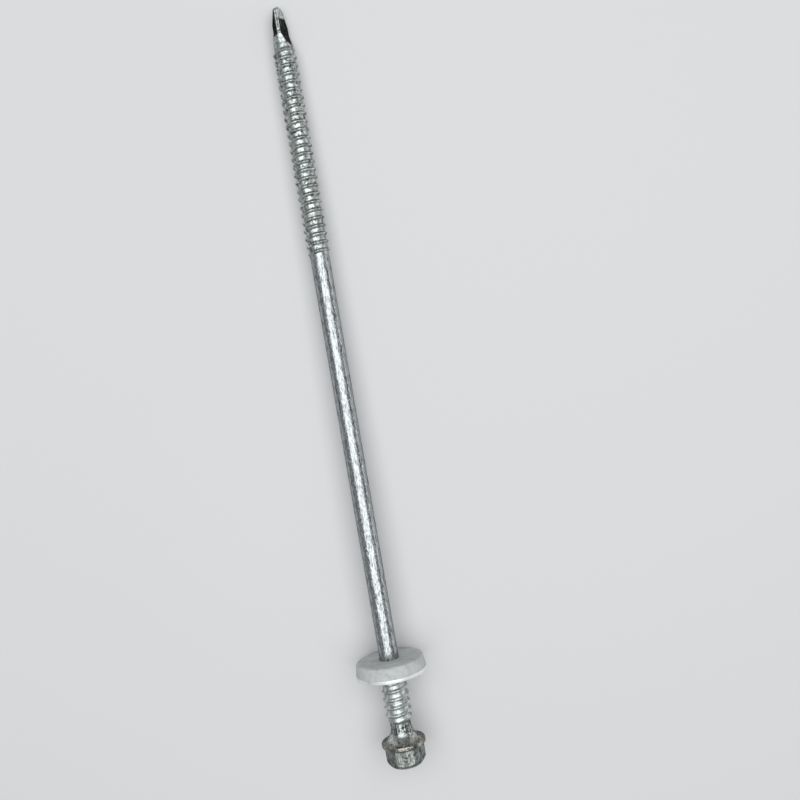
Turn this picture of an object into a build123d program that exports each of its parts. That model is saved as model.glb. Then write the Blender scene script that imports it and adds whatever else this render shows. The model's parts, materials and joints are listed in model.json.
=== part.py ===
from build123d import *
import math
import os

os.makedirs("parts", exist_ok=True)

# Self drilling screw for sandwich panels, lying at rest: a hex flange screw of one piece,
# and a sealing washer of two pieces on its shank. Millimetres and degrees.
#
# Each piece is first made on a straight axis: x runs along the X axis from the drill point's
# tip to the head, and +Z is the side that lies uppermost. At the end the whole screw is tipped
# about Y, until it lies on the floor, z = 0, on the washer's rim and the first full crest of the
# drill thread.

# Lengths along the axis
LENGTH = 166.2              # nominal length, from the tip to the underside of the flange's rim
HEAD_HEIGHT = 5.25          # from there to the head's end face
NECK_LENGTH = 4.6           # from there back to the last trace of the support thread
SUPPORT_LENGTH = 10.85      # the support thread, from its shoulder to its last trace
POINT_LENGTH = 6.6          # the pinched drill point
LEAD_LENGTH = 2.95          # plain blank between the point and the first trace of the drill thread
THREAD_LENGTH = 47.15       # the drill thread, from its first trace to its last

# Drill point: two straight flutes between two lands
POINT_R = 2.04
POINT_ANGLE = 118.0
LIP_RELIEF = 16.0           # how far each point facet falls back behind its cutting lip, in degrees
LAND_ANGLE = 50.0           # width of a land, in degrees of the circle
WEB_HALF = 0.40             # half of the metal left between the flutes
LIP_OFFSET = 0.08           # the cutting faces lie this far off the axis
FLUTE_RISE_START = 1.7      # distance from the tip at which the flute floors begin to rise
KNEE_R = 1.32               # the bend in the flute floor: its distance from the axis,
KNEE_ANGLE = 7.0            # and its angle ahead of the next land's heel
FLUTE_RISE_R = 17.0         # radius on which the flute floors rise to the surface
HEEL_FACET_END = 4.6        # near the tip each land's heel is ground off, from here on,
HEEL_FACET_SLOPE = 11.0     # at this slope to the axis,
HEEL_FACET_TURN = 30.0      # by a plane that faces this far past the heel

# Drill thread, rolled on the blank
CORE_R = 2.10
THREAD_R = 2.60
PITCH = 1.81
RUN_IN = 1.2                # length over which the ridge grows to its full height
RUN_OUT = 1.1               # length over which it sinks again

# Support thread under the head, and what both threads share
SUPPORT_CORE_R = 2.50
SUPPORT_R = 3.02
SUPPORT_PITCH = 1.78
SUPPORT_CROSSING = 1.10     # its ridge first crosses the underside this far past the shoulder
SUPPORT_RUN_IN = 4.0
SUPPORT_RUN_OUT = 0.9
CREST_WIDTH = 0.20
FLANK_ANGLE = 30.0

# Shank, neck and the small cones between neighbouring diameters
SHANK_R = 2.15
NECK_R = 2.30
NECK_FILLET = 3.2
CONE_SLOPE = 30.0

# Head: a round flange and a hexagon
FLANGE_R = 4.92
FLANGE_RIM = 0.85
FLANGE_UNDER_SLOPE = 16.0   # the underside rises from the rim towards the neck
FLANGE_TOP_SLOPE = 24.0     # and the top from the rim towards the hexagon
FLANGE_EDGE = 0.22
HEX_FLATS = 7.85
HEX_CORNER = 0.90
HEX_CHAMFER = 48.0
HEX_END_R = 3.50            # radius of the flat end inside the chamfer

# Sealing washer: a dished steel plate and the rubber ring that is vulcanised to it
PLATE_R = 8.0
PLATE_THICKNESS = 0.8
PLATE_DISH = 4.0
PLATE_EDGE = 0.18
PLATE_HOLE_CLEARANCE = 0.28
RING_THICKNESS = 2.50       # at the rim
RING_RIM_INSET = 0.12       # the ring stops this far inside the plate's rim
RING_FACE_INSET = 0.40      # and its flat face this far
RING_EDGE = 0.70
RING_CLEARANCE = 0.06       # radial room between the ring's bore and the shank
SEAT_GAP = 0.10             # room between the ring's back and the support thread's shoulder
WASHER_TURN = 5.625         # how far the washer is turned on the shank; it is round, so any angle will do

# Allowances of the modelling
ROOTED = 0.12               # how deep a thread ridge reaches below its core
SPARE = 1.0                 # how far a cutter reaches past what it cuts

# What follows: radii, and places along the axis measured from the tip. The washer's ring
# backs onto the shoulder of the support thread.
dish = math.tan(math.radians(PLATE_DISH))
plate_hole_r = SUPPORT_R + PLATE_HOLE_CLEARANCE
ring_bore_r = SHANK_R + RING_CLEARANCE
ring_face_r = PLATE_R - RING_FACE_INSET
thread_start = POINT_LENGTH + LEAD_LENGTH
thread_end = thread_start + THREAD_LENGTH
flange_face = LENGTH
head_end = flange_face + HEAD_HEIGHT
support_end = flange_face - NECK_LENGTH
shoulder = support_end - SUPPORT_LENGTH
ring_back = shoulder - SEAT_GAP
plate_rim = ring_back - (PLATE_R - ring_bore_r) * dish
seal_face = plate_rim - RING_THICKNESS


def turned(points):
    """The face inside an outline of (x, radius) points, ready to be turned about the axis."""
    return make_face(Polyline(*points, close=True))


def rounded(face, corner, radius):
    """The face with its corner nearest to that (x, radius) point rounded."""
    return fillet(face.vertices().sort_by_distance((*corner, 0))[0], radius)


def cone_length(r1, r2):
    """Length along the axis of the small cone between two radii."""
    return abs(r2 - r1) / math.tan(math.radians(CONE_SLOPE))


def blank():
    """The screw without its hexagon, threads and flutes, turned from one outline."""
    under = (FLANGE_R - NECK_R) * math.tan(math.radians(FLANGE_UNDER_SLOPE))
    hex_r = HEX_FLATS / 2
    top = (FLANGE_R - hex_r) * math.tan(math.radians(FLANGE_TOP_SLOPE))
    rim_top = flange_face + FLANGE_RIM
    neck_corner = (flange_face - under, NECK_R)
    # both roundings of the underside share its slope, and the neck's also needs length on the neck
    half_bend = math.tan(math.radians(90 - FLANGE_UNDER_SLOPE) / 2)
    slope_room = math.hypot(FLANGE_R - NECK_R, under) - FLANGE_EDGE * half_bend
    neck_room = NECK_LENGTH - under - cone_length(SUPPORT_CORE_R, NECK_R)
    neck_fillet = min(NECK_FILLET, 0.98 * min(slope_room, neck_room) / half_bend)
    outline = turned([
        (-SPARE, 0),
        (-SPARE, POINT_R),
        (POINT_LENGTH, POINT_R),
        (POINT_LENGTH + cone_length(POINT_R, CORE_R), CORE_R),
        (thread_end, CORE_R),
        (thread_end + cone_length(CORE_R, SHANK_R), SHANK_R),
        (shoulder, SHANK_R),
        (shoulder + cone_length(SHANK_R, SUPPORT_CORE_R), SUPPORT_CORE_R),
        (support_end, SUPPORT_CORE_R),
        (support_end + cone_length(SUPPORT_CORE_R, NECK_R), NECK_R),
        neck_corner,
        (flange_face, FLANGE_R),
        (rim_top, FLANGE_R),
        (rim_top + top, hex_r),
        (rim_top + top, 0),
    ])
    outline = rounded(outline, neck_corner, neck_fillet)
    outline = rounded(outline, (flange_face, FLANGE_R), FLANGE_EDGE)
    outline = rounded(outline, (rim_top, FLANGE_R), FLANGE_EDGE)
    return revolve(outline, axis=Axis.X)


def hexagon():
    """The wrench hexagon, a flat uppermost, with its end chamfered by a cone."""
    section = RegularPolygon(HEX_FLATS / 2, 6, major_radius=False, rotation=0)
    section = fillet(section.vertices(), HEX_CORNER)
    bottom = Plane((flange_face, 0, 0), x_dir=(0, 1, 0), z_dir=(1, 0, 0))
    bar = extrude(bottom * section, HEAD_HEIGHT)
    reach = HEX_FLATS
    chamfer = (reach - HEX_END_R) * math.tan(math.radians(HEX_CHAMFER))
    cone = turned([
        (flange_face - SPARE, 0),
        (flange_face - SPARE, reach),
        (head_end - chamfer, reach),
        (head_end, HEX_END_R),
        (head_end, 0),
    ])
    return bar & revolve(cone, axis=Axis.X)


def thread_ridge(start, end, crossing, core_r, crest_r, pitch, run_in, run_out):
    """A right-hand ridge between two places, of full height but for its run-in and run-out.

    It is trimmed where its first trace lies on the underside, first to its length and then to
    its run-in and run-out. Then it is turned about the axis, so that it crosses the underside at
    the place named crossing.
    """
    root_r = core_r - ROOTED
    height = crest_r - root_r
    half_crest = CREST_WIDTH / 2
    half_root = half_crest + height * math.tan(math.radians(FLANK_ANGLE))
    path = Helix(pitch, end - start + 2 * pitch, root_r)
    section = make_face(
        Polyline((0, -half_root), (height, -half_crest), (height, half_crest), (0, half_root), close=True)
    )
    ridge = sweep(Plane(path @ 0, x_dir=(1, 0, 0), z_dir=path % 0) * section, path, is_frenet=True)
    ridge = Pos(start - pitch, 0, 0) * Rot(0, 90, 0) * ridge
    low = core_r - ROOTED / 2
    high = crest_r + ROOTED
    rise = (high - low) / (crest_r - low)
    length = turned([(start, 0), (start, high), (end, high), (end, 0)])
    envelope = turned([
        (start, 0),
        (start, low),
        (start + run_in * rise, high),
        (end - run_out * rise, high),
        (end, low),
        (end, 0),
    ])
    ridge &= revolve(length, axis=Axis.X)
    ridge &= revolve(envelope, axis=Axis.X)
    return Rot(-360 * (crossing - start) / pitch, 0, 0) * ridge


def flute():
    """The room of the flute right of the upper land, whose floor rises to the surface along an arc."""
    reach = POINT_R + SPARE
    vertex = Vector(LIP_OFFSET, WEB_HALF + LIP_OFFSET)
    heel = Vector(POINT_R, 0).rotate(Axis.Z, LAND_ANGLE - 90)
    knee = Vector(KNEE_R, 0).rotate(Axis.Z, LAND_ANGLE - 90 + KNEE_ANGLE)
    past_heel = heel + (heel - knee).normalized() * 2 * SPARE
    corner = (2 * reach, 2 * reach)
    notch = make_face(
        Polyline(vertex, (vertex.X, corner[1]), corner, (corner[0], past_heel.Y), past_heel, knee, close=True)
    )
    across = Plane((-SPARE, 0, 0), x_dir=(0, 1, 0), z_dir=(1, 0, 0))
    prism = extrude(across * notch, FLUTE_RISE_START + FLUTE_RISE_R + 2 * SPARE)

    # The middle of the opening is the direction in which the floor rises.
    opening = LAND_ANGLE / 2
    out = Vector(0, 1, 0).rotate(Axis.X, opening)
    floor = vertex.rotate(Axis.Z, -opening).X - ROOTED / 4
    arc_end = (FLUTE_RISE_START + FLUTE_RISE_R, floor + FLUTE_RISE_R)
    arc_mid = (
        FLUTE_RISE_START + FLUTE_RISE_R * math.sin(math.radians(45)),
        floor + FLUTE_RISE_R * (1 - math.cos(math.radians(45))),
    )
    rising = make_face([
        ThreePointArc((FLUTE_RISE_START, floor), arc_mid, arc_end),
        Polyline(
            arc_end,
            (-2 * SPARE, arc_end[1]),
            (-2 * SPARE, -reach),
            (FLUTE_RISE_START, -reach),
            (FLUTE_RISE_START, floor),
        ),
    ])
    lengthwise = Plane((0, 0, 0), x_dir=(1, 0, 0), z_dir=Vector(1, 0, 0).cross(out))
    return prism & extrude(lengthwise * rising, 2 * reach, both=True)


def point_facet():
    """What is ground off in front of the upper land: a half space whose face holds the cutting lip."""
    half = math.radians(POINT_ANGLE / 2)
    relief = math.radians(LIP_RELIEF)
    lip = Vector(math.cos(half), 0, math.sin(half))
    back = Vector(math.sin(relief), -math.cos(relief), 0)
    size = 8 * POINT_R
    return Plane((0, 0, 0), x_dir=lip, z_dir=back.cross(lip)) * Box(
        size, size, size, align=(Align.CENTER, Align.CENTER, Align.MIN)
    )


def heel_facet():
    """What is ground off the upper land's heel, so that only its lip has the full radius at the tip."""
    slope = math.radians(HEEL_FACET_SLOPE)
    heel = Vector(HEEL_FACET_END, 0, POINT_R).rotate(Axis.X, LAND_ANGLE)
    outward = Vector(0, 0, 1).rotate(Axis.X, LAND_ANGLE + HEEL_FACET_TURN)
    along = Vector(math.cos(slope), 0, 0) + outward * math.sin(slope)
    size = 8 * POINT_R
    normal = outward * math.cos(slope) - Vector(math.sin(slope), 0, 0)
    return Plane(heel, x_dir=along, z_dir=normal) * Box(
        size, size, size, align=(Align.MAX, Align.CENTER, Align.MIN)
    )


def make_screw():
    """The screw, forged and rolled from one piece of wire."""
    screw = blank() + hexagon()
    screw += thread_ridge(
        thread_start, thread_end, thread_start, CORE_R, THREAD_R, PITCH, RUN_IN, RUN_OUT
    )
    screw += thread_ridge(
        shoulder, support_end, shoulder + SUPPORT_CROSSING, SUPPORT_CORE_R, SUPPORT_R, SUPPORT_PITCH,
        SUPPORT_RUN_IN, SUPPORT_RUN_OUT,
    )
    for side in (0, 180):
        screw -= Rot(side, 0, 0) * flute()
        screw -= Rot(side, 0, 0) * point_facet()
        screw -= Rot(side, 0, 0) * heel_facet()
    return screw


def make_plate():
    """The washer's steel plate, dished so that its rim leans towards the tip."""
    rise = (PLATE_R - plate_hole_r) * dish
    outline = turned([
        (plate_rim, PLATE_R),
        (plate_rim + rise, plate_hole_r),
        (plate_rim + rise + PLATE_THICKNESS, plate_hole_r),
        (plate_rim + PLATE_THICKNESS, PLATE_R),
    ])
    outline = rounded(outline, (plate_rim + PLATE_THICKNESS, PLATE_R), PLATE_EDGE)
    return revolve(outline, axis=Axis.X)


def make_ring():
    """The sealing ring, which fills the plate's hollow side and has a flat face towards the tip."""
    rim_r = PLATE_R - RING_RIM_INSET
    outline = turned([
        (seal_face, ring_bore_r),
        (ring_back, ring_bore_r),
        (plate_rim + (PLATE_R - rim_r) * dish, rim_r),
        (seal_face, ring_face_r),
    ])
    outline = rounded(outline, (seal_face, ring_face_r), RING_EDGE)
    return revolve(outline, axis=Axis.X)


# At rest the tip lies low: the floor is the line from the washer's rim that just touches what
# reaches lowest near the tip, which is the first full crest or the corner of a cutting lip.
crest = (thread_start + PITCH, THREAD_R)
lip_corner = (POINT_R / math.tan(math.radians(POINT_ANGLE / 2)), POINT_R)
tip_angle = min(math.atan2(PLATE_R - r, plate_rim - x) for x, r in (crest, lip_corner))
lift = PLATE_R * math.cos(tip_angle) - plate_rim * math.sin(tip_angle)
overall = head_end * math.cos(tip_angle) + HEX_END_R * math.sin(tip_angle)
at_rest = Pos(-overall / 2, 0, lift) * Rot(0, -math.degrees(tip_angle), 0)

washer_at_rest = at_rest * Rot(WASHER_TURN, 0, 0)

export_step(at_rest * make_screw(), "parts/screw.step")
export_step(washer_at_rest * make_plate(), "parts/washer_plate.step")
export_step(washer_at_rest * make_ring(), "parts/sealing_ring.step")
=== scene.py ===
# %% [markdown]
# # A long self drilling screw
#
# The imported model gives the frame: where each piece lies, in metres, with the floor at z = 0.
# This lesson lays finer surfaces over the three pieces of the frame (the screw, the steel plate
# of its sealing washer and the rubber ring under that plate), gives each the finish of the real
# material, and sets a floor, lamps and a camera around them.

# %% Load the frame
import json
import math

import bpy
import numpy as np
from mathutils import Matrix, Vector


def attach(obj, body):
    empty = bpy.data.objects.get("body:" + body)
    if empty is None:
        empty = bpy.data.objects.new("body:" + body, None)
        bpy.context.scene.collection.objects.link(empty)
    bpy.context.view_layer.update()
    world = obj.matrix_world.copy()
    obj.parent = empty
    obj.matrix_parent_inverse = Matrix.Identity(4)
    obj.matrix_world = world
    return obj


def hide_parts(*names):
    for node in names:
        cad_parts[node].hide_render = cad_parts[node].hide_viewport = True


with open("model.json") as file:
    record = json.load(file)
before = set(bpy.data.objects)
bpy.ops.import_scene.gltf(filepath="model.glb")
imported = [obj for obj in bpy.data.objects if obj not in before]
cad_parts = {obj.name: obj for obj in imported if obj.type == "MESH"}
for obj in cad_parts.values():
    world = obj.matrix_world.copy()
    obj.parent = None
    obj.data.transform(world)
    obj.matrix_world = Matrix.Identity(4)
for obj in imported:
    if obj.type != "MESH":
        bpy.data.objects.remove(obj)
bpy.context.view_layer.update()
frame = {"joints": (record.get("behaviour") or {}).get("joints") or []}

# %% [markdown]
# ## The straight axis
#
# The screw lies tilted, because its washer is thicker than its thread. A turned part is easiest
# to describe on a straight axis: x runs from the drill point's tip to the head, and a turn angle
# goes round it. So every surface is worked out there, in millimetres, and laid down at the end.
# The tilt could be typed in, but the washer slides along the axis, so the frame's slide joint
# already knows that direction.

# %% Lay a straight shape down
slide = frame["joints"][0]
tilt = math.atan2(-slide["axis"][2], -slide["axis"][0])
tip = Vector((-0.0857283, 0.0, 0.0021567))  # where the frame holds the drill point's tip, in metres


def laid(x, y, z):
    """Points of the straight axis, in mm, as world points in metres.

    Each point is turned about Y by the tilt, scaled by a thousandth, and moved by the tip's place.
    """
    level = x * math.cos(tilt) - z * math.sin(tilt)
    height = x * math.sin(tilt) + z * math.cos(tilt)
    return np.stack([level, y, height], -1) / 1000 + np.array(tip)


print("the axis rises by %.3f degrees" % math.degrees(tilt))

# %% [markdown]
# ## From a grid to a mesh
#
# Every surface here is a grid of points: the rows follow the axis and the columns go round it. A
# loop over the points would be slow and hard to read, so whole arrays of point numbers are shifted
# against each other instead, which gives all the triangles at once.


# %% Triangles of a grid
def grid_faces(numbers):
    """Two triangles for each cell of a grid of point numbers, without the cells that have no area."""
    a, b = numbers[:-1, :-1], numbers[:-1, 1:]
    d, c = numbers[1:, :-1], numbers[1:, 1:]
    halves = [np.stack(corners, -1).reshape(-1, 3) for corners in ([a, b, c], [a, c, d])]
    faces = np.concatenate(halves)
    p, q, r = faces.T
    return faces[(p != q) & (q != r) & (r != p)]


print("a grid of 3 by 4 points has", len(grid_faces(np.arange(12).reshape(3, 4))), "triangles")


# %% Triangles between two rings, and over an end
def join_rings(coarse, coarse_turns, fine, fine_turns, fine_is_ahead):
    """Triangles between a coarse ring and a finer one that holds all of its turn angles.

    Each short edge of the fine ring goes to the coarse point that is nearest to the edge's middle,
    and each step from one coarse point to the next closes with one more triangle.
    """
    edge_middles = (fine_turns + np.append(fine_turns[1:], fine_turns[0] + 360)) / 2
    borders = (coarse_turns + np.append(coarse_turns[1:], coarse_turns[0] + 360)) / 2
    near = np.searchsorted(borders, edge_middles - 1e-6) % len(coarse)
    ahead = np.roll(fine, -1)
    before = np.roll(near, 1)
    step = near != before
    fans = np.stack([fine, ahead, coarse[near]], -1)
    closers = np.stack([fine, coarse[near], coarse[before]], -1)[step]
    faces = np.concatenate([fans, closers])
    return faces[:, ::-1] if fine_is_ahead else faces


def cap_faces(centre, ring, facing_head):
    """A fan of triangles that closes a ring with its centre point."""
    fan = np.stack([np.full(len(ring), centre), ring, np.roll(ring, -1)], -1)
    return fan if facing_head else fan[:, ::-1]


print("a ring of 8 points closes with", len(cap_faces(0, np.arange(1, 9), True)), "triangles")


# %% From arrays to an object
def make_piece(name, points, faces, sharp_angle, **values):
    """A mesh object from world points and triangles, smooth except along edges over an angle.

    Each of the named values becomes an attribute with one number per point.
    """
    mesh = bpy.data.meshes.new(name)
    mesh.vertices.add(len(points))
    mesh.vertices.foreach_set("co", points.astype(np.float32).ravel())
    mesh.loops.add(faces.size)
    mesh.loops.foreach_set("vertex_index", faces.astype(np.int32).ravel())
    mesh.polygons.add(len(faces))
    mesh.polygons.foreach_set("loop_start", np.arange(0, faces.size, 3, dtype=np.int32))
    mesh.update(calc_edges=True)
    mesh.validate()
    mesh.shade_smooth()
    mesh.set_sharp_from_angle(angle=math.radians(sharp_angle))
    for label, numbers in values.items():
        layer = mesh.attributes.new(label, "FLOAT", "POINT")
        layer.data.foreach_set("value", numbers.astype(np.float32).ravel())
    piece = bpy.data.objects.new(name, mesh)
    bpy.context.scene.collection.objects.link(piece)
    print(name, len(points), "points,", len(faces), "triangles")
    return piece


# %% [markdown]
# ## The drill point
#
# The point of the real screw is pinched between two dies. That leaves two lands, two straight
# flutes whose floors rise to the surface, and two ground facets that meet the flutes in the cutting
# lips. It could be cut with booleans, but seen from the axis every direction meets the surface
# exactly once. So the radius is a function of the place along the axis and the turn angle: the
# smallest of what the blank, the flutes, the facets and the ground-off heels leave.

# %% Flat walls seen from the axis
FAR = 99.0                  # mm, for a wall that a ray never meets
SMALL = 1e-6


def flat_radius(normal_y, normal_z, distance, y, z):
    """How far a ray from the axis runs until it meets a flat wall: distance over the cosine."""
    slant = normal_y * y + normal_z * z
    return np.where(slant > SMALL, distance / np.maximum(slant, SMALL), FAR)


print("a wall 1 mm away is met at 60 degrees after %.2f mm" % flat_radius(1, 0, 1, 0.5, math.sqrt(0.75)))

# %% The flutes
# each wall is flat: the y and z of its outward direction, and its distance from the axis in mm
CUTTING_FACE = (1.0, 0.0, 0.08)
WEB = (0.7595, 0.6505, 0.373)
HEEL_WALL = (0.7922, 0.6102, 0.4382)
FLOOR_TURN = math.radians(25)
FLOOR_HEIGHT = 0.2454       # the floor's height over the axis where it begins to rise,
FLOOR_START = 1.7           # this far from the tip,
FLOOR_ARC = 17.0            # on an arc of this radius


def flute_radius(x, y, z):
    """The flute's wall along a ray: cutting face, web, heel wall, or the floor if that lies higher.

    The web and the heel wall meet in a hollow corner, so the nearer of the two counts. The cutting
    face bounds both, and so does the floor. The floor's height is its start plus the rise of a
    circle's arc: the radius less the root of the radius squared less the run squared.
    """
    face = flat_radius(*CUTTING_FACE, y, z)
    web = flat_radius(*WEB, y, z)
    heel_wall = flat_radius(*HEEL_WALL, y, z)
    run = np.clip(x - FLOOR_START, 0, FLOOR_ARC)
    height = np.where(x > FLOOR_START, FLOOR_HEIGHT + FLOOR_ARC - np.sqrt(FLOOR_ARC**2 - run**2), -FAR)
    floor = flat_radius(math.cos(FLOOR_TURN), math.sin(FLOOR_TURN), height, y, z)
    return np.maximum(np.maximum(face, floor), np.minimum(web, heel_wall))


print("between the flutes %.2f mm of metal is left" % (2 * WEB[2]))

# %% The whole point
FACET = (0.824, -0.2363, 0.4951)    # each cutting facet is the plane 0.824 x = -0.2363 y + 0.4951 z
HEEL = (-0.9667, 0.1705)            # the ground-off heel: its outward direction,
HEEL_DISTANCE = 0.8566              # its distance from the axis at the tip,
HEEL_SLOPE = 0.1908                 # how much that grows per mm,
HEEL_END = 4.6                      # and where it ends


def point_radius(x, turn, blank):
    """The smallest radius that the blank, both flutes, both facets and both heels leave."""
    y, z = np.cos(np.radians(turn)), np.sin(np.radians(turn))
    facets = FACET[0] * x / np.maximum(np.abs(FACET[1] * y + FACET[2] * z), SMALL)
    radius = np.minimum(blank, facets)
    for side in (1, -1):
        radius = np.minimum(radius, flute_radius(x, side * y, side * z))
        heel = flat_radius(*HEEL, HEEL_DISTANCE + HEEL_SLOPE * x, side * y, side * z)
        radius = np.where(x < HEEL_END, np.minimum(radius, heel), radius)
    return radius


sample = point_radius(np.array([[3.0]]), np.arange(0.0, 360.0, 5.0), 2.04)
print("3 mm from the tip the radius runs from %.2f to %.2f mm" % (sample.min(), sample.max()))

# %% [markdown]
# ## The threads
#
# Both threads are rolled into the blank: a ridge with sloping flanks that winds round it and fades
# out at its ends. Rows straight across the axis would cut the ridge at a slant and leave a jagged
# crest. Here the rows wind with the ridge, so each of them keeps to one height of its flanks, and
# few rows are enough. Where such a row would leave the threaded length, it is held at its end ring.

# %% The ridge of a thread
FLANK_SLOPE = math.tan(math.radians(30))
HALF_CREST = 0.10
CREST_SOFTNESS, ROOT_SOFTNESS, END_SOFTNESS = 0.20, 0.30, 0.04


def soft_min(a, b, width):
    """The smaller of two numbers, with the corner between them rounded over a width."""
    blend = np.clip(0.5 + (b - a) / (2 * width), 0, 1)
    return b + (a - b) * blend - width * blend * (1 - blend)


def ridge_height(off_crest, full):
    """How high the ridge stands at a distance from its crest line: flat, then sloping flanks.

    A soft minimum rounds the crest's edges and a soft maximum the roots, as rolling leaves them.
    """
    slope = full - (np.abs(off_crest) - HALF_CREST) / FLANK_SLOPE
    top = soft_min(slope, full, CREST_SOFTNESS)
    return -soft_min(-top, 0.0, ROOT_SOFTNESS)


print("a ridge of 0.5 mm stands %.2f mm high on its crest line" % ridge_height(0.0, 0.5))

# %% The two threads
# places along the axis, heights and lengths in mm; the crest line crosses the underside at "crossing"
DRILL_THREAD = {"start": 9.55, "end": 56.7, "crossing": 9.55, "full": 0.50,
                "pitch": 1.81, "run_in": 1.2, "run_out": 1.1}
SUPPORT_THREAD = {"start": 150.75, "end": 161.6, "crossing": 151.85, "full": 0.52,
                  "pitch": 1.78, "run_in": 4.0, "run_out": 0.9}


def thread_height(x, turn, start, end, crossing, full, pitch, run_in, run_out):
    """The height of a thread's ridge over its blank, at a place and a turn angle.

    The crest line advances by one pitch a turn. The height grows over run_in and fades over
    run_out. Two crossing sines wear the crest by a few hundredths of its height.
    """
    crest = crossing + pitch * (turn + 90) / 360
    off = (x - crest + pitch / 2) % pitch - pitch / 2
    fade = np.clip(np.minimum((x - start) / run_in, (end - x) / run_out), 0, 1)
    wear = 1 + 0.035 * np.sin(2.1 * x + 3 * np.radians(turn)) * np.sin(5.3 * x)
    return soft_min(ridge_height(off, full * wear), full * fade, END_SOFTNESS)


for name, thread in (("drill", DRILL_THREAD), ("support", SUPPORT_THREAD)):
    print("the %s thread winds %.1f times" % (name, (thread["end"] - thread["start"]) / thread["pitch"]))


# %% Rows that wind with the ridge
def wound_rows(start, end, crossing, pitch, turns):
    """Rows that wind with the ridge: their distance from the crest line, one set for each pitch.

    A row's place is the crest line's place plus its own distance, clipped to the two end rings.
    """
    flank = np.array([0.06, 0.12, 0.20, 0.29, 0.38, 0.47, 0.60, 0.74])
    offsets = np.concatenate([-flank[::-1], [0.0], flank, [pitch / 2]])
    first = math.floor((start - crossing) / pitch) - 2
    count = math.ceil((end - start) / pitch) + 4
    places = crossing + pitch * (first + np.arange(count)[:, None]) + offsets
    rows = places.ravel()[:, None] + pitch * (turns + 90) / 360
    return np.clip(rows, start, end), len(offsets)


rows, per_turn = wound_rows(9.5, 57.0, DRILL_THREAD["crossing"], DRILL_THREAD["pitch"], np.zeros(1))
print("the drill thread gets", len(rows), "rows,", per_turn, "for each turn")

# %% [markdown]
# ## Blank, neck and head
#
# Between the threads the screw is a turned shape: a radius for each place along the axis. The
# profile below lists its corners, and numpy draws the straight runs between them. The neck runs
# into the flange in a hollow curve, and the flange's rim is slightly rounded, so those two get
# arcs. The head's hexagon is no turned shape: its radius also depends on the turn angle, as the
# nearest of six flats, with their corners rounded as forging leaves them.

# %% The turned profile
# the profile's corners: drill point, core of the drill thread, shank, core of the support thread, neck
NECK_R = 2.30
corners_x = [0, 6.6, 6.704, 56.7, 56.787, 150.75, 151.356, 161.6, 161.946, 163.0]
corners_r = [2.04, 2.04, 2.10, 2.10, 2.15, 2.15, 2.50, 2.50, NECK_R, NECK_R]


def blank_radius(x):
    """The turned radius up to the neck, on straight runs between the profile's corners."""
    return np.interp(x, corners_x, corners_r)


print("in the middle of the shank the radius is %.2f mm" % blank_radius(100.0))


# %% Neck and flange
def arc(centre_x, centre_r, radius, first, last, count):
    """Points of an arc in the (x, radius) plane: the centre plus the radius at evenly spaced angles."""
    angle = np.radians(np.linspace(first, last, count))
    return np.stack([centre_x + radius * np.cos(angle), centre_r + radius * np.sin(angle)], -1)


NECK_FILLET = 3.2
NECK_CORNER = 165.449       # where the neck's line would meet the underside's, without the fillet
UNDER_SLOPE, TOP_SLOPE = 16, 24     # degrees by which the flange's two faces lean towards its rim
FLANGE_R = 4.92
FLANGE_EDGE = 0.22
RIM_LOW, RIM_HIGH = 166.366, 166.907    # where the arcs of the rim's two edges have their centres

fillet_x = NECK_CORNER - NECK_FILLET * math.tan(math.radians((90 - UNDER_SLOPE) / 2))
neck_arc = arc(fillet_x, NECK_R + NECK_FILLET, NECK_FILLET, -90, -UNDER_SLOPE, 16)
rim_low = arc(RIM_LOW, FLANGE_R - FLANGE_EDGE, FLANGE_EDGE, 180 - UNDER_SLOPE, 90, 7)
rim_high = arc(RIM_HIGH, FLANGE_R - FLANGE_EDGE, FLANGE_EDGE, 90, TOP_SLOPE, 7)
flange = np.concatenate([neck_arc, rim_low, rim_high])
print("the neck's fillet starts at %.2f mm" % fillet_x)
print("the flange's rim is %.2f mm wide" % (2 * flange[:, 1].max()))

# %% The hexagon
HEAD_END = 171.45
HALF_FLATS = 3.925
CORNER_R = 0.9


def hexagon_radius(turn):
    """The hexagon's wall: half its width over the cosine to the nearest flat, with rounded corners.

    Past where a corner's round begins, the wall is that circle, met along the same ray: the part
    of the way to its centre plus the root of its radius squared less the offset squared.
    """
    sixth = math.pi / 6
    off_flat = np.abs(np.radians(turn) % (math.pi / 3) - sixth)
    wall = HALF_FLATS / np.cos(off_flat)
    to_corner = sixth - off_flat
    centre = (HALF_FLATS - CORNER_R) / math.cos(sixth)
    inside = np.maximum(CORNER_R**2 - (centre * np.sin(to_corner)) ** 2, 0)
    rounded = centre * np.cos(to_corner) + np.sqrt(inside)
    begins = sixth - math.atan2(CORNER_R * math.sin(sixth), centre + CORNER_R * math.cos(sixth))
    return np.where(off_flat > begins, rounded, wall)


widths = 2 * hexagon_radius(np.array([0.0, 30.0]))
print("over corners %.2f mm, over flats %.2f mm" % (widths.max(), widths.min()))
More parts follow.
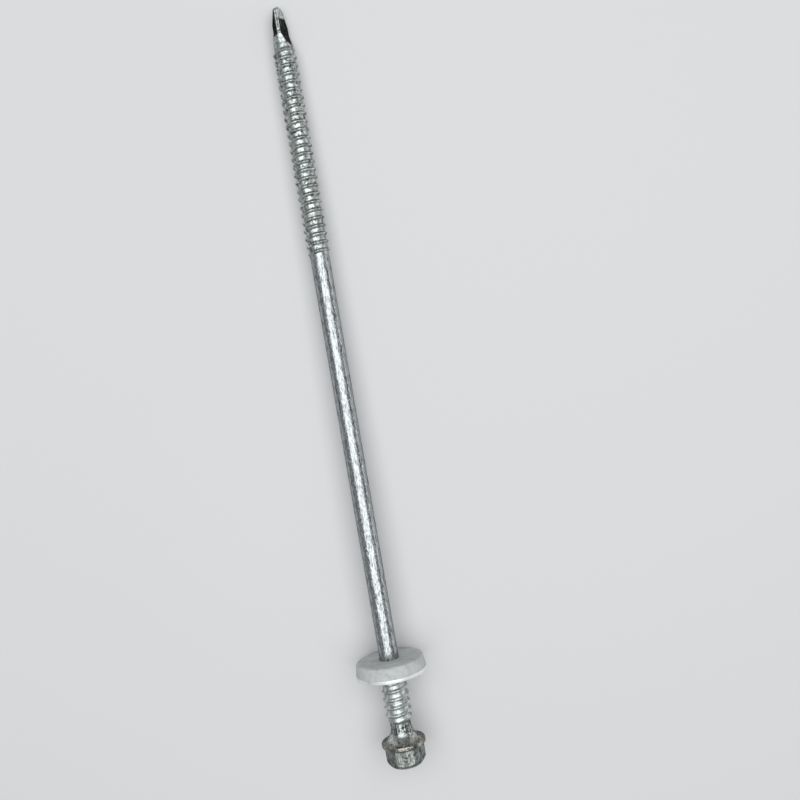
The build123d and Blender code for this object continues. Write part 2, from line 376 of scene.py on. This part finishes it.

# %% [markdown]
# ## The screw in one skin
#
# The screw is one forged piece, so it becomes one closed mesh. The columns are 5 degrees apart
# along the threads and the shank. The drill point and the hexagon need more of them, near the
# cutting lips and the corners, and each set holds the plain one, so the rings can be joined
# without a gap. Two numbers per point are kept for the finish: how far up the ridge it lies, and
# how much painted shade it gets on the drill point.

# %% Columns round the axis
plain_turns = np.arange(-90.0, 270.0, 5.0)
lip_turns = np.array([-38.5, -36.5, -33, -31.5, 25.5, 77.5, 80.5, 81.5, 82.6, 83.8, 86, 86.8,
                      87.4, 87.75, 88.5])
point_turns = np.unique(np.concatenate([plain_turns, lip_turns, lip_turns + 180]))
round_turns = np.array([-7.5, -6, -4, -3, -2, -1, 1, 2, 3, 4, 6, 7.5])
corner_turns = (round_turns + np.arange(0, 360, 60)[:, None]).ravel()
head_turns = np.unique(np.concatenate([plain_turns, (corner_turns + 90) % 360 - 90]))
for name, turns in (("thread and shank", plain_turns), ("drill point", point_turns), ("head", head_turns)):
    print("columns on the %s: %d" % (name, len(turns)))


# %% A skin that grows ring by ring
class Skin:
    """Collects the points and triangles of one piece, with the two numbers for its finish."""

    def __init__(self):
        self.points, self.faces, self.ridge, self.bare, self.count = [], [], [], [], 0

    def add(self, x, radius, turn, ridge=0.0, bare=0.0):
        """Adds points at a place, radius and turn angle, and returns their numbers."""
        x, radius, turn, ridge, bare = np.broadcast_arrays(x, radius, turn, ridge, bare)
        angle = np.radians(turn)
        self.points.append(laid(x, radius * np.cos(angle), radius * np.sin(angle)).reshape(-1, 3))
        self.ridge.append(ridge.ravel())
        self.bare.append(bare.ravel())
        numbers = self.count + np.arange(x.size).reshape(x.shape)
        self.count += x.size
        return numbers

    def rings(self, x, radius, turns, **finish):
        """Adds closed rings, one for each row, with their triangles, and returns the outer two."""
        numbers = self.add(x, radius, turns, **finish)
        self.faces.append(grid_faces(np.concatenate([numbers, numbers[:, :1]], 1)))
        return numbers[0], numbers[-1]

    def wind(self, before, after, start, end, thread):
        """Fills the length between two rings with rows that wind with the thread's ridge.

        The last column is the first one a turn later, so it takes the numbers of the next pitch.
        """
        wrapped = np.append(plain_turns, plain_turns[0] + 360)
        x, per_turn = wound_rows(start, end, thread["crossing"], thread["pitch"], wrapped)
        ridge = thread_height(x, wrapped, **thread)
        radius, share = blank_radius(x) + ridge, ridge / thread["full"]
        own = self.add(x[:, :-1], radius[:, :-1], plain_turns, ridge=share[:, :-1])
        wrap = np.concatenate([own[per_turn:, :1], np.repeat(own[-1:, :1], per_turn, 0)])
        numbers = np.concatenate([own, wrap], 1)
        numbers = np.where(x <= start, np.append(before, before[0]), numbers)
        numbers = np.where(x >= end, np.append(after, after[0]), numbers)
        self.faces.append(grid_faces(numbers))

    def finished(self, name, sharp_angle):
        """Makes the object. Points that no triangle uses are left out."""
        faces = np.concatenate(self.faces)
        used, faces = np.unique(faces, return_inverse=True)
        points, ridge, bare = (np.concatenate(part)[used] for part in (self.points, self.ridge, self.bare))
        return make_piece(name, points, faces.reshape(-1, 3), sharp_angle, ridge=ridge, bare=bare)


skin = Skin()
print("an empty skin with", skin.count, "points")

# %% [markdown]
# The drill point gets painted shade: dark in the deep part of its flutes and on its ground-off
# heels, and half as dark on the lands just behind its lips. A mask painted by hand would not follow
# a change of shape. Here the depth below the blank and the angle behind a lip give it as a number
# for every point.


# %% The drill point
def rise(value, low, high):
    """0 up to one value, 1 from the other on, a straight line between; low may be the greater one."""
    return np.clip((value - low) / (high - low), 0, 1)


# rows lie closer where the lips and the ends of the flutes are
x = np.concatenate([[0.004, 0.02], np.arange(0.05, 1.35, 0.05), np.arange(1.35, 6.5, 0.12),
                    np.arange(6.5, 9.45, 0.09)])[:, None]
radius = point_radius(x, point_turns, blank_radius(x))
# painted shade: full in the deep part of the flutes and on the heels, half on the lands behind the lips
flutes = rise(blank_radius(x) - radius, 0.02, 0.28) * rise(x, 2.2, 3.0)
behind = (point_turns - 90) % 180   # degrees behind a cutting lip
upper = point_turns > 90            # the two heels get painted shade over different angles
begins, ends = np.where(upper, 14, 38), np.where(upper, 75, 54)
heels = rise(behind, begins, begins + 8) * (behind < ends) * rise(x, 7.5, 6.5)
lands = 0.50 * (behind < 14) * rise(x, 6.2, 5.4)
bare = np.maximum(np.maximum(flutes, heels), lands)
tip_ring, point_ring = skin.rings(x, radius, point_turns, bare=bare)
centre = skin.add(np.array([0.0]), 0.0, 0.0)[0]
skin.faces.append(cap_faces(centre, tip_ring, False))
print("with the drill point the skin has", skin.count, "points")

# %% Threads, shank and neck
# each thread winds between two plain rings
thread_first, _ = skin.rings(np.array([[9.5]]), blank_radius(9.5), plain_turns)
skin.faces.append(join_rings(thread_first, plain_turns, point_ring, point_turns, False))
x = np.concatenate([[57.0], np.arange(58.5, 150, 1.5), [150.7]])[:, None]
shank_first, shank_last = skin.rings(x, blank_radius(x), plain_turns)
skin.wind(thread_first, shank_first, 9.5, 57.0, DRILL_THREAD)
x = np.array([162.0, 162.4, 162.9])[:, None]
neck_first, neck_last = skin.rings(x, blank_radius(x), plain_turns)
skin.wind(shank_last, neck_first, 150.7, 162.0, SUPPORT_THREAD)
print("with threads and shank the skin has", skin.count, "points")

# %% Flange and hexagon
END_R, END_CHAMFER = 3.50, 48       # the flat end inside the chamfer, and the chamfer's slope
cone_x = np.linspace(167.13, 167.493, 9)[:, None]
cone = FLANGE_R - (cone_x - 167.05) / math.tan(math.radians(TOP_SLOPE))
wall_x = np.concatenate([np.linspace(167.6, 170.3, 8), np.linspace(170.42, HEAD_END, 18)])[:, None]
wall = hexagon_radius(head_turns)
chamfer = END_R + (HEAD_END - wall_x) / math.tan(math.radians(END_CHAMFER))
round_row = np.ones_like(wall)
x = np.concatenate([flange[:, :1], cone_x, wall_x, [[HEAD_END], [HEAD_END]]])
radius = np.concatenate([
    flange[:, 1:] * round_row,
    -soft_min(-cone, -wall, 0.12),
    soft_min(chamfer, wall, 0.14),
    [3.3 * round_row, 1.6 * round_row],
])
head_first, head_last = skin.rings(x, radius, head_turns)
skin.faces.append(join_rings(neck_last, plain_turns, head_first, head_turns, True))
centre = skin.add(np.array([HEAD_END]), 0.0, 0.0)[0]
skin.faces.append(cap_faces(centre, head_last, True))
print("with the head the skin has", skin.count, "points")

# %% The finished screw
screw = skin.finished("screw_skin", 38)
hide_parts("screw")
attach(screw, "screw")

# %% [markdown]
# ## The sealing washer
#
# The washer is a dished steel plate with a rubber ring bonded under it. Both are turned shapes
# with a hole, so each is a closed outline carried once round the axis. A plain outline would look
# machined: the real plate has a rolled-over edge, and the moulded rubber has soft corners and a
# rim that is not perfectly round, so the outline gets small arcs and the rubber a slow wave.

# %% Turned pieces with a hole
washer_turns = np.arange(0.0, 360.0, 2.5)


def turned_piece(name, outline, sharp_angle, wave=0.0):
    """A closed (x, radius) outline carried round the axis, whose rim may be a little wavy.

    The wave is one plus a sum of two slow sines of the turn angle. It draws the outline in, by
    nothing at the bore and by most at the rim.
    """
    x, radius = outline[:, :1], outline[:, 1:]
    angle = np.radians(washer_turns)
    swell = 0.6 * np.sin(3 * angle + 0.7) + 0.4 * np.sin(7 * angle + 2.1)
    outward = (radius - radius.min()) / np.ptp(radius)
    radius = radius - wave * outward * (1 + swell)
    x = x + np.zeros_like(radius)
    rows, columns = radius.shape
    numbers = np.arange(rows * columns).reshape(rows, columns)
    numbers = np.pad(numbers, ((0, 1), (0, 1)), mode="wrap")
    points = laid(x, radius * np.cos(angle), radius * np.sin(angle)).reshape(-1, 3)
    return make_piece(name, points, grid_faces(numbers), sharp_angle)


print("each washer piece has", len(washer_turns), "columns")


# %% Outlines with rounded corners
def rounded_outline(points, radii, steps=6):
    """A closed outline with each corner rounded: its arc touches both sides at equal distances.

    The distance is the radius over the tangent of half the corner's inner angle. Each arc is drawn
    as a quadratic curve between the two points where it touches, with the corner as its handle.
    """
    corner = np.array(points, float)
    back, ahead = np.roll(corner, 1, 0) - corner, np.roll(corner, -1, 0) - corner
    back /= np.linalg.norm(back, axis=1)[:, None]
    ahead /= np.linalg.norm(ahead, axis=1)[:, None]
    half = np.arccos(np.clip((back * ahead).sum(1), -1, 1)) / 2
    reach = (np.array(radii) / np.tan(half))[:, None]
    first, last = corner + back * reach, corner + ahead * reach
    t = np.linspace(0, 1, steps)[None, :, None]
    arcs = (1 - t) ** 2 * first[:, None] + 2 * t * (1 - t) * corner[:, None] + t**2 * last[:, None]
    return arcs.reshape(-1, 2)


# corners as (place along the axis, radius), then the radius of each corner's round, all in mm
ring_outline = rounded_outline(
    [(147.745, 2.21), (147.745, 7.60), (150.253, 7.88), (150.65, 2.21)], [0.12, 0.70, 0.05, 0.05]
)
plate_outline = rounded_outline(
    [(150.245, 8.0), (151.045, 8.0), (151.374, 3.3), (150.574, 3.3)], [0.06, 0.20, 0.12, 0.05]
)
for name, outline in (("ring", ring_outline), ("plate", plate_outline)):
    print("the %s is %.2f mm wide" % (name, 2 * outline[:, 1].max()))

# %% The washer's plate and ring
ring = turned_piece("rubber_ring", ring_outline, 50, wave=0.02)
plate = turned_piece("steel_plate", plate_outline, 50)
for piece, node, finish in ((ring, "sealing_ring", "seal_rubber"), (plate, "washer_plate", "washer_steel")):
    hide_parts(node)
    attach(piece, "washer")

# %% [markdown]
# ## Finishes: shared effects
#
# Each finish is made of nodes, worked out from a point's place on the straight axis in
# millimetres, so a pattern keeps its real size. Two effects are used again and again with other
# sizes, so each is a node group: streaks that run along the axis, as drawing the wire leaves them,
# and clouds, the soft mottling of zinc and of rubber. Wiring node by node makes long scripts, so a
# few helpers come first, each of which adds one kind of node and returns its output.


# %% Helpers for single nodes
def add_node(tree, kind, inputs=(), **settings):
    """A node with its settings, whose input sockets are set to numbers or joined to other sockets."""
    node = tree.nodes.new(kind)
    for key, value in settings.items():
        setattr(node, key, value)
    for key, value in dict(inputs).items():
        if isinstance(value, bpy.types.NodeSocket):
            tree.links.new(value, node.inputs[key])
        else:
            node.inputs[key].default_value = value
    return node


def ramp(tree, value, stops):
    """A colour ramp: a list of (place, colour), where a colour may be one grey number."""
    node = add_node(tree, "ShaderNodeValToRGB", {"Fac": value})
    band = node.color_ramp
    while len(band.elements) < len(stops):
        band.elements.new(0.5)
    for element, (place, colour) in zip(band.elements, stops):
        colour = colour if isinstance(colour, tuple) else (colour,) * 3
        element.position, element.color = place, (*colour, 1)
    return node.outputs["Color"]


def mixed(tree, factor, a, b, how="MIX"):
    """One colour over another: the factor says how much of b shows."""
    node = add_node(tree, "ShaderNodeMix", data_type="RGBA", blend_type=how, clamp_factor=True)
    for key, value in ((0, factor), (6, a), (7, b)):
        if isinstance(value, bpy.types.NodeSocket):
            tree.links.new(value, node.inputs[key])
        else:
            node.inputs[key].default_value = value if key == 0 else (*value, 1)
    return node.outputs[2]


def maths(tree, operation, *values, clamp=False):
    """The sum, product or other function of one, two or three values."""
    node = add_node(tree, "ShaderNodeMath", enumerate(values), operation=operation, use_clamp=clamp)
    return node.outputs[0]


print("helpers for nodes:", ", ".join(helper.__name__ for helper in (add_node, ramp, mixed, maths)))


# %% Streaks along the axis
def new_group(name, inputs, outputs):
    """An empty node group with float or vector inputs and float outputs."""
    tree = bpy.data.node_groups.new(name, "ShaderNodeTree")
    for label, kind, value in inputs:
        socket = tree.interface.new_socket(label, in_out="INPUT", socket_type=kind)
        if value is not None:
            socket.default_value = value
    for label in outputs:
        tree.interface.new_socket(label, in_out="OUTPUT", socket_type="NodeSocketFloat")
    return tree, tree.nodes.new("NodeGroupInput"), tree.nodes.new("NodeGroupOutput")


streaks_group, given, result = new_group(
    "Streaks",
    [("Place", "NodeSocketVector", None), ("Width", "NodeSocketFloat", 0.3),
     ("Stretch", "NodeSocketFloat", 8.0), ("Contrast", "NodeSocketFloat", 2.0)],
    ["Streaks"],
)
length = maths(streaks_group, "MULTIPLY", given.outputs["Width"], given.outputs["Stretch"])
size = add_node(streaks_group, "ShaderNodeCombineXYZ",
                {"X": length, "Y": given.outputs["Width"], "Z": given.outputs["Width"]})
scaled = add_node(streaks_group, "ShaderNodeVectorMath",
                  {0: given.outputs["Place"], 1: size.outputs[0]}, operation="DIVIDE")
noise = add_node(streaks_group, "ShaderNodeTexNoise",
                 {"Vector": scaled.outputs[0], "Scale": 1.0, "Detail": 3.0, "Roughness": 0.6})
centred = maths(streaks_group, "SUBTRACT", noise.outputs["Fac"], 0.5)
steep = maths(streaks_group, "MULTIPLY_ADD", centred, given.outputs["Contrast"], 0.5, clamp=True)
streaks_group.links.new(steep, result.inputs["Streaks"])
print("Streaks: noise drawn out along the axis, its contrast raised about the middle")

# %% Clouds
clouds_group, given, result = new_group(
    "Clouds",
    [("Place", "NodeSocketVector", None), ("Size", "NodeSocketFloat", 1.0),
     ("Contrast", "NodeSocketFloat", 2.0)],
    ["Clouds"],
)
scaled = add_node(clouds_group, "ShaderNodeVectorMath", {0: given.outputs["Place"]}, operation="SCALE")
inverse = maths(clouds_group, "DIVIDE", 1.0, given.outputs["Size"])
clouds_group.links.new(inverse, scaled.inputs["Scale"])
noise = add_node(clouds_group, "ShaderNodeTexNoise",
                 {"Vector": scaled.outputs[0], "Scale": 1.0, "Detail": 3.0, "Roughness": 0.5,
                  "Distortion": 0.4})
centred = maths(clouds_group, "SUBTRACT", noise.outputs["Fac"], 0.5)
steep = maths(clouds_group, "MULTIPLY_ADD", centred, given.outputs["Contrast"], 0.5, clamp=True)
clouds_group.links.new(steep, result.inputs["Clouds"])
print("Clouds: even noise of one size, its contrast raised about the middle")


# %% Place on the axis, and the two effects in a material
def new_material(name):
    """A material with its Principled shader and the place on the straight axis, in mm."""
    material = bpy.data.materials.new(name)
    material.use_nodes = True
    tree = material.node_tree
    shader = tree.nodes["Principled BSDF"]
    at = tree.nodes.new("ShaderNodeTexCoord").outputs["Object"]
    turn = Matrix.Rotation(tilt, 3, "Y")
    straight = add_node(tree, "ShaderNodeMapping",
                        {"Vector": at, "Location": -(turn @ tip), "Rotation": (0.0, tilt, 0.0)})
    place = add_node(tree, "ShaderNodeVectorMath",
                     {0: straight.outputs[0], "Scale": 1000.0}, operation="SCALE")
    return material, tree, shader, place.outputs[0]


def effect(tree, group, place, **sizes):
    """One of the two groups at that place, with its own sizes and contrast."""
    node = add_node(tree, "ShaderNodeGroup", node_tree=group)
    tree.links.new(place, node.inputs["Place"])
    for key, value in sizes.items():
        node.inputs[key].default_value = value
    return node.outputs[0]


def streaks(tree, place, width, stretch, contrast):
    """Streaks of a width in mm, so many times longer than wide."""
    return effect(tree, streaks_group, place, Width=width, Stretch=stretch, Contrast=contrast)


def clouds(tree, place, size, contrast):
    """Clouds of a size in mm."""
    return effect(tree, clouds_group, place, Size=size, Contrast=contrast)


def finish(tree, shader, colour, roughness, height, depth):
    """Joins colour, roughness and relief. The depth is how far, in metres, a height of 1 stands out."""
    bump = add_node(tree, "ShaderNodeBump", {"Height": height, "Distance": depth, "Strength": 1.0})
    tree.links.new(colour, shader.inputs["Base Color"])
    tree.links.new(roughness, shader.inputs["Roughness"])
    tree.links.new(bump.outputs[0], shader.inputs["Normal"])


print("node groups:", [group.name for group in bpy.data.node_groups])

# %% [markdown]
# ## Zinc on drawn wire
#
# The shank is drawn wire under a thin bright zinc coat. Drawing leaves fine grooves along it, and
# the coat is stained and matt in short flecks. On the threads, rolling breaks the grooves up, and
# the coat is duller and a little greenish, with painted shade in its roots. The neck keeps dark
# streaks, and the forged head is stained a warm grey and wrinkled. The drill point gets painted
# shade in its flutes, on its heels and just behind its lips.
# It is one piece of steel, so one material does all of this, and masks say where each look holds:
# most of them follow the place along the axis, the others are the skin's two numbers per point.

# %% Where each look of the zinc steel holds
zinc, tree, shader, place = new_material("zinc_steel")
shader.inputs["Metallic"].default_value = 1.0
# the tint of a metal is its colour at grazing angles; this dark one darkens reflections near the
# outline: painted shade
shader.inputs["Specular Tint"].default_value = (0.35, 0.36, 0.38, 1)
ridge = add_node(tree, "ShaderNodeAttribute", attribute_name="ridge").outputs["Fac"]
bare = add_node(tree, "ShaderNodeAttribute", attribute_name="bare").outputs["Fac"]
along = add_node(tree, "ShaderNodeSeparateXYZ", {"Vector": place}).outputs["X"]


def rising(tree, value, low, high):
    """A mask that goes from 0 at one value to 1 at the other; the first may be the greater one."""
    node = add_node(tree, "ShaderNodeMapRange", {"Value": value, "From Min": low, "From Max": high})
    return node.outputs[0]


def between(tree, value, start, full, fading, end):
    """A mask that rises from 0 at the start to 1, and falls from where it fades to 0 at the end."""
    return maths(tree, "MULTIPLY", rising(tree, value, start, full), rising(tree, value, end, fading))


drawn = between(tree, along, 55.5, 57.5, 150.0, 152.5)
support = between(tree, along, 150.0, 151.5, 161.2, 162.0)
neck = between(tree, along, 161.6, 162.2, 164.0, 164.6)
forged = rising(tree, along, 162.0, 163.5)
head = rising(tree, along, 165.2, 165.9)
hexagon = rising(tree, along, 167.2, 167.6)
end_face = rising(tree, along, 170.9, 171.3)
print("masks along the axis: drawn wire from 56.5 to 151 mm, then support thread,")
print("neck from 162 mm, head from 165.5, hexagon from 167.4 and its end face from 171.1")

# %% Patterns in the zinc
# streaks: width in mm, how many times longer, contrast; clouds: size in mm, contrast
flecks = streaks(tree, place, 0.26, 2.8, 2.6)
stains = streaks(tree, place, 0.32, 4.5, 3.0)
grooves = streaks(tree, place, 0.22, 30.0, 2.5)
wrinkles = streaks(tree, place, 0.32, 7.0, 2.8)
mottle = clouds(tree, place, 0.60, 3.5)
patches = clouds(tree, place, 1.10, 4.5)
tone = clouds(tree, place, 6.0, 2.0)
print("four kinds of streaks and three of clouds feed the zinc's colour, gloss and relief")

# %% Colour of the coat
wire = ramp(tree, stains, [(0.0, (0.15, 0.16, 0.175)), (0.35, (0.37, 0.39, 0.40)),
                           (0.6, (0.44, 0.465, 0.47)), (1.0, (0.48, 0.51, 0.51))])
rolled = ramp(tree, mottle, [(0.0, (0.17, 0.185, 0.18)), (0.35, (0.64, 0.685, 0.66)),
                             (1.0, (0.84, 0.89, 0.86))])
# the support thread's coat is made lighter than the drill thread's, painted light for a brighter
# highlight, and its roots get less painted shade
rolled = mixed(tree, maths(tree, "MULTIPLY", support, 0.6), rolled, (0.88, 0.93, 0.91))
# painted shade: the thread is darkened low on its ridge, most at the foot of its flanks
root_shade = ramp(tree, ridge, [(0.0, 0.90), (0.15, 0.65), (0.5, 0.85), (0.9, 1.0)])
rolled = mixed(tree, maths(tree, "MULTIPLY_ADD", support, -0.40, 1.0), rolled, root_shade, "MULTIPLY")
rolled = mixed(tree, maths(tree, "MULTIPLY", patches, 0.7), rolled, (0.45, 0.46, 0.46), "MULTIPLY")
rolled = mixed(tree, maths(tree, "MULTIPLY", end_face, 0.75), rolled, (0.60, 0.63, 0.62))
coat = mixed(tree, drawn, rolled, wire)
coat = mixed(tree, maths(tree, "MULTIPLY", tone, 0.12), coat, (0.60, 0.65, 0.70), "MULTIPLY")
print("the coat has", len(tree.nodes), "nodes so far")

# %% Stains of neck and head
streaky = maths(tree, "MULTIPLY", neck, ramp(tree, grooves, [(0.35, 1.0), (0.6, 0.0)]))
coat = mixed(tree, maths(tree, "MULTIPLY", streaky, 0.9), coat, (0.18, 0.18, 0.18), "MULTIPLY")
stain = mixed(tree, hexagon, (0.53, 0.46, 0.405), (0.75, 0.745, 0.71))
warm = maths(tree, "MULTIPLY", head, maths(tree, "MULTIPLY_ADD", tone, 0.3, 0.7))
coat = mixed(tree, warm, coat, stain, "MULTIPLY")
walls = maths(tree, "SUBTRACT", hexagon, end_face)
coat = mixed(tree, maths(tree, "MULTIPLY", walls, wrinkles), coat, (0.24, 0.26, 0.27), "MULTIPLY")
print("the neck is streaked, the flange warm grey and the hexagon wrinkled")

# %% Painted shade on the drill point
# the painted shade is near black and streaked along the axis, and its edge follows the mottling
painted_shade_colour = ramp(tree, grooves, [(0.0, (0.010, 0.010, 0.010)), (0.45, (0.028, 0.028, 0.028)),
                            (0.62, (0.085, 0.085, 0.085)), (1.0, (0.17, 0.17, 0.17))])
patchy = maths(tree, "MULTIPLY_ADD", maths(tree, "SUBTRACT", mottle, 0.5), 0.3, bare)
colour = mixed(tree, rising(tree, patchy, 0.35, 0.65), coat, painted_shade_colour)
print("the edge of the bare steel follows the mottling of the coat")

# %% Gloss and relief of the zinc
matt = add_node(tree, "ShaderNodeMapRange",
                {"Value": flecks, "From Min": 0.35, "From Max": 0.70,
                 "To Min": 0.11, "To Max": 0.44}).outputs[0]
rough_wire = maths(tree, "MULTIPLY_ADD", grooves, 0.06, matt)
rough_rolled = maths(tree, "MULTIPLY_ADD", mottle, -0.24, 0.52)
# neck and flange are smoother than the threads, the hexagon is not
smoother = maths(tree, "MULTIPLY_ADD", hexagon, 0.50, maths(tree, "MULTIPLY_ADD", forged, -0.45, 1.0))
rough_rolled = maths(tree, "MULTIPLY", rough_rolled, smoother)
rough = add_node(tree, "ShaderNodeMix", {0: drawn, 2: rough_rolled, 3: rough_wire}).outputs[0]
lumps = maths(tree, "MULTIPLY", mottle, maths(tree, "MULTIPLY_ADD", drawn, -0.7, 0.8))
height = maths(tree, "MULTIPLY_ADD", flecks, 0.7, lumps)
height = maths(tree, "MULTIPLY_ADD", grooves, 0.2, height)
finish(tree, shader, colour, rough, height, 0.000018)
screw.data.materials.append(zinc)
print(zinc.name, "has", len(tree.nodes), "nodes")

# %% [markdown]
# ## Washer steel and rubber
#
# The plate is zinc plated sheet: dull, slightly cloudy metal. The rubber is pale grey and matt
# with a faint mottling, because the moulding powder stays on it. It is no metal, so nearly all of
# its look comes from colour and a fine relief.

# %% Washer steel
sheet, tree, shader, place = new_material("washer_steel")
shader.inputs["Metallic"].default_value = 0.75
spangle = clouds(tree, place, 1.8, 2.5)
grain = clouds(tree, place, 0.4, 2.0)
colour = ramp(tree, spangle, [(0.0, (0.74, 0.75, 0.74)), (1.0, (0.92, 0.93, 0.92))])
rough = maths(tree, "MULTIPLY_ADD", grain, 0.12, 0.50)
finish(tree, shader, colour, rough, grain, 0.00002)
plate.data.materials.append(sheet)
print(sheet.name, "has", len(tree.nodes), "nodes")

# %% Seal rubber
rubber, tree, shader, place = new_material("seal_rubber")
blotch = clouds(tree, place, 1.6, 2.2)
powder = clouds(tree, place, 0.45, 3.0)
pale = ramp(tree, blotch, [(0.0, (0.38, 0.39, 0.40)), (0.5, (0.465, 0.485, 0.485)),
                           (1.0, (0.55, 0.57, 0.56))])
colour = mixed(tree, maths(tree, "MULTIPLY", powder, 0.3), pale, (0.62, 0.63, 0.62))
rough = maths(tree, "MULTIPLY_ADD", powder, 0.15, 0.72)
finish(tree, shader, colour, rough, powder, 0.00004)
shader.inputs["Specular IOR Level"].default_value = 0.3
ring.data.materials.append(rubber)
print(rubber.name, "has", len(tree.nodes), "nodes")

# %% [markdown]
# ## Floor, lamps and camera
#
# Polished metal shows its surroundings more than its own colour. One broad soft lamp overhead
# gives the bright line along the top of the shank, dim surroundings give the dark bands beside it,
# and a low strip lamp beside the screw gives the second, narrower line. The floor is plain and pale.

# %% Floor
FLOOR_REACH = 3             # metres from the middle to each side
floor_mesh = bpy.data.meshes.new("floor")
corners = [(FLOOR_REACH * x, FLOOR_REACH * y, 0) for x, y in ((-1, -1), (1, -1), (1, 1), (-1, 1))]
floor_mesh.from_pydata(corners, [], [(0, 1, 2, 3)])
floor = bpy.data.objects.new("floor", floor_mesh)
bpy.context.scene.collection.objects.link(floor)
floor_material = bpy.data.materials.new("floor")
floor_material.use_nodes = True
shader = floor_material.node_tree.nodes["Principled BSDF"]
shader.inputs["Base Color"].default_value = (0.66, 0.66, 0.66, 1)
shader.inputs["Roughness"].default_value = 0.9
floor.data.materials.append(floor_material)
print("the floor is", 2 * FLOOR_REACH, "m wide")

# %% Surroundings and lamps
world = bpy.data.worlds.new("surroundings")
bpy.context.scene.world = world
world.use_nodes = True
sky = world.node_tree.nodes["Background"]
sky.inputs["Color"].default_value = (0.92, 0.96, 1.0, 1)
sky.inputs["Strength"].default_value = 0.29

axis = Vector((math.cos(tilt), 0.0, math.sin(tilt)))
above = Vector((-math.sin(tilt), 0.0, math.cos(tilt)))
middle = tip + axis * 0.0913    # a point near the screw's middle: lamps and camera are placed from it


def soft_lamp(name, place, target, width, height, level):
    """A rectangular lamp that faces a target. Its watts are its level of radiance times pi and area."""
    lamp = bpy.data.lights.new(name, "AREA")
    lamp.shape, lamp.size, lamp.size_y = "RECTANGLE", width, height
    lamp.energy = level * math.pi * width * height
    holder = bpy.data.objects.new(name, lamp)
    bpy.context.scene.collection.objects.link(holder)
    holder.location = place
    holder.rotation_euler = (place - target).to_track_quat("Z", "Y").to_euler()
    print(name, "%.1f W" % lamp.energy)


under_lamp = middle + Vector((-0.065, 0.035, 0.0))
soft_lamp("overhead", under_lamp + Vector((0.0, 0.0, 0.55)), under_lamp, 0.71, 0.81, 2.2)
soft_lamp("low_strip", middle + Vector((0.0, 0.9, 0.08)), middle, 1.2, 0.10, 2.4)

# %% [markdown]
# The camera looks down on the screw, square to its axis, from near the middle of its length and
# slightly to one side. It is turned by about ten degrees, so that the head comes to the lower right.

# %% Camera
SIDE_SHIFT, RISE = 0.01222, 0.19015     # metres from that middle point
LEAN_RIGHT, LEAN_DOWN = 0.1707, 0.9853  # the way of the axis in the view, from the tip to the head
toward_tip = -axis
sideways = Vector((0.0, 1.0, 0.0))
right = (toward_tip * -LEAN_RIGHT + sideways * LEAN_DOWN).normalized()
up = (toward_tip * LEAN_DOWN + sideways * LEAN_RIGHT).normalized()
camera_data = bpy.data.cameras.new("camera")
camera_data.lens, camera_data.sensor_width = 38.25, 36.0
camera_data.clip_start, camera_data.clip_end = 0.01, 10.0
camera = bpy.data.objects.new("camera", camera_data)
bpy.context.scene.collection.objects.link(camera)
view = Matrix((right, up, above)).transposed().to_4x4()
view.translation = middle + sideways * SIDE_SHIFT + above * RISE
camera.matrix_world = view
bpy.context.scene.camera = camera
bpy.context.scene.view_settings.view_transform = "Standard"
print("the camera stands %.3f m over the screw's axis, with a %.2f mm lens" % (RISE, camera_data.lens))
